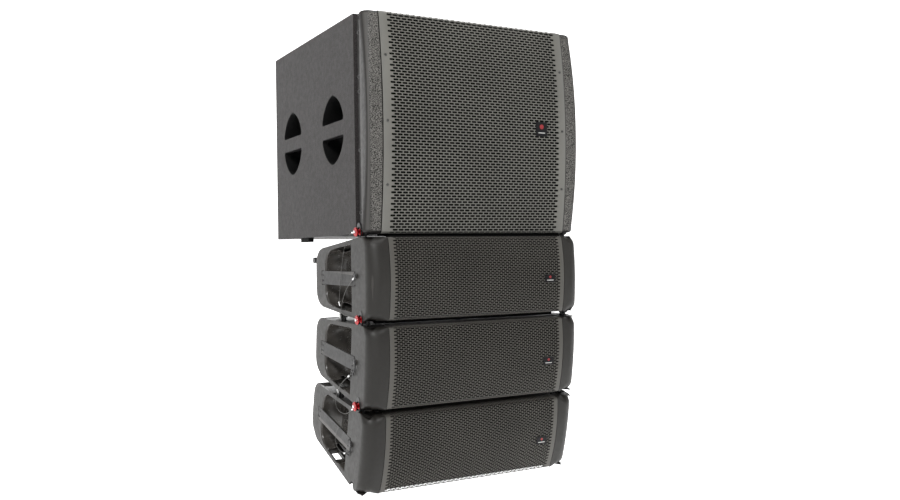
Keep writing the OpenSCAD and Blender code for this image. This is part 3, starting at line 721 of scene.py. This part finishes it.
def pockets(looks):
    for k in ELEMENTS:
        for side, name in ((-1, "left"), (1, "right")):
            v, f = pocket_bowl(side)
            obj = piece(f"pocket_{name}_{k}", v, f, HANG[k], looks["bowl"], f"element_{k}", "panel_plastic",
                        50.0)
            thick = obj.modifiers.new("thickness", "SOLIDIFY")
            thick.thickness = 0.0008
            thick.offset = -1.0


# ---------------------------------------------------------------- moulded panels and cheeks

def sag(z, middle, height, bow):
    """How far a bowed front has fallen back at a height."""
    radius = height * height / 8 / bow + bow / 2
    return radius - math.sqrt(radius ** 2 - (z - middle) ** 2)


def rounding(edge, radius):
    """How far a rounded edge is drawn in, at a distance from where the sharp one would be."""
    edge = max(edge, 0.0)
    return 0.0 if edge >= radius else radius - math.sqrt(radius ** 2 - (radius - edge) ** 2)


def ease(t):
    t = min(max(t, 0.0), 1.0)
    return t * t * (3 - 2 * t)


def moulded_skin(x, y, z):
    """The cheek's skin, moved from a sharp-ended arc to a soft cushion shape."""
    reach = CHEEK_ROUND
    spine_y = FRONT + reach
    spine_x = min(max(x, CHEEK), SIDE - reach)
    drop = sag(z, BOX_MID, BOX_TOP - BOX_LOW, BOX_BOW)
    off = (x - spine_x, min(y - spine_y, 0.0))
    dist = math.hypot(*off)
    on_arc = y < spine_y and (abs(dist - reach) < 0.7 or abs(y - FRONT - drop) < 0.7)
    on_side = y >= spine_y and x > SIDE - 0.6
    if not (on_arc or on_side) or y > -19:
        return x, y
    edge = min(top_z(y) - z, z - low_z(y))
    across = 3.0 + 23.0 * ease((x - CHEEK) / 30.0)
    along = 3.0 + 23.0 * ease((-y - 20.0) / 24.0)
    inset = rounding(edge, min(across, along))
    if on_side:
        return x - inset, y
    sin, cos = off[0] / dist, -off[1] / dist
    full = 1 / math.sqrt((cos / (reach - drop)) ** 2 + (sin / reach) ** 2)
    return spine_x + sin * (full - inset), spine_y - cos * (full - inset)


def moulded_panels(looks):
    """The side panels from their CAD shape, with soft cheeks. Cuts give the mesh points to bend at."""
    bm = bmesh.new()
    bm.from_mesh(nodes["side_panels_1"].data)
    bm.transform(HANG[1].inverted())
    bmesh.ops.remove_doubles(bm, verts=bm.verts[:], dist=0.01)
    cuts = []
    for edge in (0.4, 1.5, 3.5, 6.0, 9.0, 12.5, 17.0, 22.0, 32.0, 50.0, 75.0, 100.0):
        cuts += [((0, 0, BOX_TOP - edge), (0, 0, 1)), ((0, 0, BOX_LOW + edge), (0, 0, 1))]
    for y in (-30, -26, -22, -20):
        cuts.append(((0, y, 0), (0, 1, 0)))
    xs = [CHEEK + 1, CHEEK + 5, CHEEK + 10, CHEEK + 15]
    xs += [SIDE - CHEEK_ROUND + CHEEK_ROUND * math.sin(math.radians(a)) for a in range(0, 90, 9)]
    cuts += [((side * x, 0, 0), (1, 0, 0)) for x in xs for side in (-1, 1)]
    for point, normal in cuts:
        bmesh.ops.bisect_plane(bm, geom=bm.verts[:] + bm.edges[:] + bm.faces[:], dist=1e-3, plane_co=point,
                               plane_no=normal)
    for vert in bm.verts:
        x, y, z = vert.co
        if abs(x) > CHEEK - 0.5:
            nx, ny = moulded_skin(abs(x), y, z)
            vert.co = (math.copysign(nx, x), ny, z)
    verts = [v.co.copy() for v in bm.verts]
    bm.verts.index_update()
    faces = [[v.index for v in face.verts] for face in bm.faces]
    bm.free()
    for k in ELEMENTS:
        obj = piece(f"moulded_panels_{k}", verts, faces, HANG[k], looks["panel"], f"element_{k}",
                    "panel_plastic", 40.0)
        soften(obj, 1.6, 50)
        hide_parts(f"side_panels_{k}")


def soften(obj, bevel, angle):
    """Rounds an object's edges, and keeps its flat faces flat in the shading."""
    edge = obj.modifiers.new("soft_edges", "BEVEL")
    edge.width = bevel * MM
    edge.segments = 2
    edge.limit_method = "ANGLE"
    edge.angle_limit = math.radians(angle)
    flat = obj.modifiers.new("flat_faces", "WEIGHTED_NORMAL")
    flat.keep_sharp = False
    flat.weight = 80


def sub_cheek(side):
    """A bass box cheek, lofted down its height. Its outer corner is softer towards the ends."""
    verts = []
    top, low = -2.0, 2.0 - SUB_H
    ends = [0.0, 0.4, 1.5, 3.5, 6.5, 10.0]
    zs = [top - e for e in ends] + list(np.linspace(top - 18, low + 18, 44)) + [low + e for e in ends[::-1]]
    for z in zs:
        t = abs(z + SUB_H / 2) / (SUB_H / 2)
        inset = rounding(min(top - z, z - low), 10.0)
        y = SUB_FRONT + sag(z, -SUB_H / 2, SUB_H, SUB_BOW) + inset
        x = SIDE - inset
        corner = min(13.0 + 19.0 * t ** 2.2, -21.0 - y)
        a, b, c, d = (Vector(q) for q in ((SUB_CHEEK, y), (x, y), (x, -20.0), (SUB_CHEEK, -20.0)))
        loop = round_corner(a, d, b, 3.0, 5) + round_corner(b, a, c, corner, 16) + [c, d]
        verts += [(side * q.x, q.y, z) for q in loop]
    faces = tube(len(zs), len(loop))
    return verts, turned(faces) if side > 0 else faces


def sub_cheeks(looks):
    v, f = join([sub_cheek(-1), sub_cheek(1)])
    obj = piece("sub_cheek_pair", v, f, ROW, looks["cheek"], "sub", "cheek_paint")
    flat = obj.modifiers.new("flat_faces", "WEIGHTED_NORMAL")
    flat.weight = 80
    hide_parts("sub_cheeks")


def half_leaf(up, inset):
    """Half a leaf-shaped hand hole, above or below its bar, as points of depth and height."""
    wide, tall, bar, r = 174.0, 205.0, 20.5, 9.0
    bulge = (tall ** 2 + wide ** 2) / 4 / wide
    off = bulge - wide / 2
    tip = math.sqrt(bulge ** 2 - off ** 2) - 1.0
    corner = math.sqrt(bulge ** 2 - (bar + r) ** 2) - off - r
    half = [(corner + (r - inset) * math.sin(a), bar + r - (r - inset) * math.cos(a))
            for a in np.linspace(0, math.pi / 2, 7)]
    half += [(math.sqrt((bulge - inset) ** 2 - z ** 2) - off, z)
             for z in np.linspace(bar + r + 4, tip - inset - 1, 14)]
    loop = half + [(-y, z) for y, z in half[::-1]]
    return [(y, up * z) for y, z in loop]


def hand_hole_sleeves(looks):
    """Near-black linings of the hand holes' walls, which paint the shade deep in the holes."""
    parts = []
    rings = [(0.3, SIDE - 0.7), (1.5, SIDE - 0.7), (1.5, SIDE - 19.0), (0.3, SIDE - 19.0)]
    for side in (-1, 1):
        for y0 in HAND_HOLE_Y:
            for up in (-1, 1):
                verts = [(side * x, y0 + y, HAND_HOLE_Z + z)
                         for inset, x in rings for y, z in half_leaf(up, inset)]
                faces = loft(4, len(verts) // 4, closed=True)
                parts.append((verts, faces if side * up > 0 else turned(faces)))
    piece("hand_hole_sleeves", *join(parts), ROW, looks["cup"], "sub", "cup_plastic")


def hooks(looks):
    """The black caps and hooks at the handle bars' front ends, and the bars' small holes."""
    for k in ELEMENTS:
        parts = []
        for side in (-1, 1):
            # A cap on the post, and on the lower boxes a wire hook with an eye
            cap = [(0, 0), (6, 0), (6, 3), (4.5, 4.4), (0, 4.6)]
            parts.append(lathe(cap, 28, (side * 352.1, 21, -123), (side, 0, 0)))
            if k == 1:
                continue
            spine = [(28, -119), (22, -121), (18, -129), (19, -141), (24, -149), (31, -153)]
            path = smooth_route([(side * 353.8, y, z) for y, z in spine], 6)
            parts.append(wire_rope(path, 3.0, strands=0, sides=12))
            eye = [(side * 353.8, 36 + 6 * math.cos(a), -157 + 6 * math.sin(a))
                   for a in np.linspace(0, 2 * math.pi, 25)]
            parts.append(wire_rope([Vector(q) for q in eye], 2.4, strands=0, sides=10))
        v, f = join(parts)
        piece(f"hooks_{k}", v, f, HANG[k], looks["black"], f"element_{k}", "rigging_steel", 60.0)
        spots = [lathe([(0, 0), (2.3, 0), (2.3, 0.4), (0, 0.4)], 20, (side * 347, y, z), (side, 0, 0))
                 for side in (-1, 1) for y in (48, 275) for z in (-138, -122)]
        piece(f"bar_holes_{k}", *join(spots), HANG[k], looks["rust"], f"element_{k}", "bar_steel")


def knob_shade_rings(looks):
    """A near-black ring behind each red knob, peaked at its top, with a hole that the pin's collar clears:
    painted shade round the pin.
    """
    turns = [2 * math.pi * i / 48 for i in range(48)]
    back, front, inner, outer, peak = 346.2, 351.0, 13.5, 15.5, 10.0
    verts = []
    rings = ((back, inner, 0.0), (front, inner, 0.0), (front, outer, peak), (back, outer, peak))
    for x, reach, rise in rings:
        for a in turns:
            r = reach + rise * max(0.0, math.sin(a)) ** 4
            verts.append((-x, r * math.cos(a), r * math.sin(a)))
    faces = loft(4, len(turns), closed=True)
    for k in ELEMENTS:
        body = "sub" if k == 1 else f"element_{k - 1}"
        piece(f"pin_notch_shade_{k}", verts, faces, HANG[k], looks["black"], body, "rigging_steel")


def gap_shade_pieces(looks):
    """Near-black strips of foam in the gaps between the boxes, which paint the shade there. None fills its
    gap, so that the boxes can tilt.
    """
    strips = [("sub", ROW, -300, 300, -30, -10, 1 - SUB_H, -6 - SUB_H),
              ("element_1", HANG[1], -285, 285, -55, -35, BOX_TOP - 1, BOX_TOP + 4.5),
              ("element_1", HANG[1], -316, 270, -30, -10, BOX_LOW + 1, BOX_LOW - 9),
              ("element_2", HANG[2], -316, 270, -30, -10, BOX_LOW + 1, BOX_LOW - 9)]
    for number, (body, where, x0, x1, y0, y1, root, tip) in enumerate(strips, 1):
        p = [Vector(q) for q in ((y0, root), (y1, root), (y1, tip), (y0, tip))]
        loop = [p[0], p[1]] + round_corner(p[2], p[1], p[3], 2.0, 6) + round_corner(p[3], p[2], p[0], 2.0, 6)
        if tip > root:
            loop = loop[::-1]
        xs = np.linspace(x0, x1, 30)
        verts = [(x, q.x, q.y) for x in xs for q in loop]
        faces = turned(tube(len(xs), len(loop)))
        piece(f"gap_shade_strip_{number}", verts, faces, where, looks["foam"], body, "cone_paper")


# ---------------------------------------------------------------- fasteners and trim

def rail_bolts(looks):
    parts = []
    for side in (-1, 1):
        for z in RAIL_BOLT_Z:
            washer = [(0, 0), (6.0, 0), (6.0, 1.2), (0, 1.2)]
            parts.append(lathe(washer, 28, (side * 342, 0, z), (side, 0, 0)))
            parts.append(bolt_head((side * 343.2, 0, z), (side, 0, 0), r=4.2, h=3.6, socket=2.1))
    v, f = join(parts)
    obj = piece("rail_bolt_heads", v, f, ROW, looks["dull"], "sub", "bolt_steel")
    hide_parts("sub_rail_bolts")


def grille_screws(looks):
    parts = []
    x = (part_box("sub_grille_screws")[1] / MM).x - 4
    for side in (-1, 1):
        for z in GRILLE_SCREW_Z:
            fall = (z + SUB_H / 2) ** 2 / (SUB_H * SUB_H / 4 / SUB_BOW)
            parts.append(bolt_head((side * x, SUB_FRONT + fall, z), (0, -1, 0), r=3.5, h=2.2, socket=1.6))
    v, f = join(parts)
    obj = piece("grille_screw_heads", v, f, ROW, looks["dull"], "sub", "bolt_steel")
    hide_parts("sub_grille_screws")


def rounded_plate(x0, x1, z0, z1, y0, y1, r):
    """A plate facing -Y with rounded corners and a chamfered face."""
    corners = [(x1 - r, z1 - r), (x0 + r, z1 - r), (x0 + r, z0 + r), (x1 - r, z0 + r)]
    n = 6
    loop = []
    for quarter, (x, z) in enumerate(corners):
        for i in range(n + 1):
            a = math.radians(90 * quarter + 90 * i / n)
            loop.append((x + r * math.cos(a), z + r * math.sin(a)))
    mid = ((x0 + x1) / 2, (z0 + z1) / 2)
    shrink = 1 - 0.8 / ((x1 - x0) / 2)
    rings = [(1.0, y1), (1.0, y0 + 0.4), (shrink, y0)]
    verts = [(mid[0] + (x - mid[0]) * s, y, mid[1] + (z - mid[1]) * s) for s, y in rings for x, z in loop]
    m = len(loop)
    return verts, loft(3, m) + [list(range(2 * m, 3 * m))[::-1], list(range(m))]


def badges(looks):
    """Plain dark plates with a generic red dot over a pale bar."""
    spots = [("sub", ROW, "sub_badge", (195, 235, -324, -282), SUB_FRONT)]
    spots += [(f"element_{k}", HANG[k], f"badge_{k}", (219, 255, BOX_MID - 24, BOX_MID), FRONT)
              for k in ELEMENTS]
    for body, where, node, (x0, x1, z0, z1), y in spots:
        v, f = rounded_plate(x0, x1, z0, z1, y - 2, y, 2.5)
        plate = piece(f"{node}_plate", v, f, where, looks["badge"], body, "badge_plastic")
        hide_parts(node)
        x, tall = (x0 + x1) / 2, z1 - z0
        profile = [(0, 0), (tall * 0.17, 0), (tall * 0.17, 0.25), (0, 0.35)]
        dot = lathe(profile, 32, (x, y - 2, z1 - tall * 0.34), (0, -1, 0))
        piece(f"{node}_dot", *dot, where, looks["mark_red"], body, "badge_plastic")
        low = z0 + tall * 0.2
        bar = rounded_plate(x - 12, x + 12, low, low + 2.6, y - 2.35, y - 2, 0.9)
        piece(f"{node}_bar", *bar, where, looks["mark_pale"], body, "badge_plastic")


def plate_trim(looks):
    """Socket rims and fixing screws on the rear plates."""
    rim = [(13, 0), (17.5, 0), (17.5, 2.2), (16.4, 3.2), (14, 3.2), (13, 2.2), (13, 0)]
    inset = 9
    spots = [("sub", ROW, 0.0, 60.0, -SUB_H / 2, SUB_REAR + PLATE_PROUD, 125.0, 95.0, 95.0)]
    spots += [(f"element_{k}", HANG[k], 150.0, 40.0, BOX_MID - 6, BOX_REAR + PLATE_PROUD, 90.0, 44.0, 42.0)
              for k in ELEMENTS]
    for body, where, x, apart, z, y, half, down, up in spots:
        rims, screws = [], []
        for side in (-1, 1):
            rims.append(lathe(rim, 48, (x + side * apart, y, z), (0, 1, 0)))
            for dz in (-down + inset, up - inset):
                head = (x + side * (half - inset), y, z + dz)
                screws.append(bolt_head(head, (0, 1, 0), r=4.2, h=2.4, socket=1.8))
        v, f = join(rims)
        piece(f"socket_rims_{body}", v, f, where, looks["blue"], body, "plate_metal")
        v, f = join(screws)
        piece(f"plate_screws_{body}", v, f, where, looks["bolt"], body, "bolt_steel")


def link_fasteners(looks):
    """A washer and a nut on each side of the rear links' clamp bolts."""
    washer = [(4, 0), (8, 0), (8, 1.0), (4, 1.0), (4, 0)]
    nut = [(0, 0), (6.6, 0), (6.6, 1.4), (5.6, 2.0), (0, 2.0)]
    y, z = LINK_REACH * math.cos(LINK_LEAN), -LINK_REACH * math.sin(LINK_LEAN)
    for k in ELEMENTS[1:]:
        parts = []
        for side in (-1, 1):
            parts.append(lathe(washer, 28, (side * 342, y, z), (side, 0, 0)))
            parts.append(lathe(nut, 6, (side * 343, y, z), (side, 0, 0)))
        v, f = join(parts)
        piece(f"link_nuts_{k}", v, f, HANG[k], looks["bolt"], f"element_{k}", "bolt_steel")


# ---------------------------------------------------------------- CAD nodes' finishes

FINISH = {
    "sub_cabinet": ("cabinet", 0), "sub_hand_cups": ("cup", 0),
    "sub_rails": ("rail", 0.6), "sub_driver": ("driver", 0), "sub_cone": ("cone", 0),
    "sub_input_plate": ("black", 0.6), "sub_skids": ("rubber", 1.5), "sub_rear_link": ("rigging", 0.8),
    "rear_bar": ("rigging", 0.6),
    "cabinet": ("panel", 1.5), "handle_bars": ("bar", 0.5),
    "rigging": ("rigging", 0.5), "woofers": ("driver", 0), "cones": ("cone", 0), "horn": ("black", 0),
    "input_plate": ("black", 0.6), "pin_left": ("red", 0.4), "pin_right": ("rigging", 0.4),
    "button_left": ("chrome", 0.5), "button_right": ("chrome", 0.5),
}


def dress(node, look, bevel):
    obj = nodes[node]
    obj.data.materials.clear()
    obj.data.materials.append(look)
    if bevel:
        weld = obj.modifiers.new("weld", "WELD")
        weld.merge_threshold = 0.00002
        edge = obj.modifiers.new("soft_edges", "BEVEL")
        edge.width = bevel * MM
        edge.segments = 3
        edge.limit_method = "ANGLE"
        edge.angle_limit = math.radians(40)
        edge.harden_normals = True


def dress_all(looks):
    for node in nodes:
        base = node if node in FINISH else node.rsplit("_", 1)[0]
        if base in FINISH:
            look, bevel = FINISH[base]
            dress(node, looks[look], bevel)


# ---------------------------------------------------------------- studio

def stage_light(n):
    """The stage's glow. It is weak just in front of the array, so that little light comes from below."""
    away = n.add("ShaderNodeVectorMath", operation="DOT_PRODUCT")
    away.inputs[1].default_value = (0.486, 0.874, 0.0)
    n.link(n.coords, away.inputs[0])
    far = n.add("ShaderNodeVectorMath", operation="LENGTH")
    n.link(n.coords, far.inputs[0])
    weak, full = 0.15, 1.0
    behind = n.remap(away.outputs["Value"], -0.55, 0.05, weak, full)
    beyond = n.remap(far.outputs["Value"], 3.5, 7.0, weak, full)
    n.link(n.calculate("MAXIMUM", behind, beyond), n.shader.inputs["Emission Strength"])


def stage():
    """A pale floor below the array that curves up into a wall behind it."""
    floor_z = cad_box[0][2] - 0.12
    steps, bend, wall_y, wall_top, half, front = 24, 3.0, 7.0, 14.0, 40.0, -40.0
    side = [(front, floor_z)]
    side += [(wall_y + bend * math.sin(a), floor_z + bend * (1 - math.cos(a)))
             for a in np.linspace(0, math.pi / 2, steps)]
    side.append((wall_y + bend, wall_top))
    verts = [(x, y, z) for x in (-half, half) for y, z in side]
    m = len(side)
    mesh = bpy.data.meshes.new("stage")
    mesh.from_pydata(verts, [], [[m + i, m + i + 1, i + 1, i] for i in range(m - 1)])
    for poly in mesh.polygons:
        poly.use_smooth = True
    floor = bpy.data.objects.new("stage", mesh)
    bpy.context.scene.collection.objects.link(floor)
    n = Nodes("stage")
    n.shader.inputs["Base Color"].default_value = (0.88, 0.88, 0.88, 1)
    n.shader.inputs["Roughness"].default_value = 0.9
    n.shader.inputs["Emission Color"].default_value = (1, 1, 1, 1)
    stage_light(n)
    mesh.materials.append(n.mat)


def lights():
    """Even white light from the world, and four soft lamps aimed at the middle of the array."""
    world = bpy.data.worlds.new("studio")
    world.use_nodes = True
    world.node_tree.nodes["Background"].inputs["Color"].default_value = (1, 1, 1, 1)
    world.node_tree.nodes["Background"].inputs["Strength"].default_value = 0.25
    bpy.context.scene.world = world
    bpy.context.scene.view_settings.view_transform = "Standard"
    target = Vector((0, 0.1, -0.65))
    for name, at, size, power in (("key", (-2.1, -2.6, 1.4), 1.0, 95), ("fill", (3.2, -3.0, 0.6), 2.0, 14),
                                  ("top", (0.0, -0.4, 2.6), 2.4, 50), ("rear", (1.5, 3.5, 1.2), 2.5, 70)):
        light = bpy.data.lights.new(name, "AREA")
        light.shape = "DISK"
        light.size = size
        light.energy = power
        obj = bpy.data.objects.new(name, light)
        obj.location = at
        obj.rotation_euler = (target - Vector(at)).to_track_quat("-Z", "Y").to_euler()
        bpy.context.scene.collection.objects.link(obj)


camera()
looks = materials()
lanyards(looks)
grilles(looks)
pockets(looks)
moulded_panels(looks)
sub_cheeks(looks)
hand_hole_sleeves(looks)
hooks(looks)
knob_shade_rings(looks)
gap_shade_pieces(looks)
rail_bolts(looks)
grille_screws(looks)
badges(looks)
plate_trim(looks)
link_fasteners(looks)
dress_all(looks)
stage()
lights()
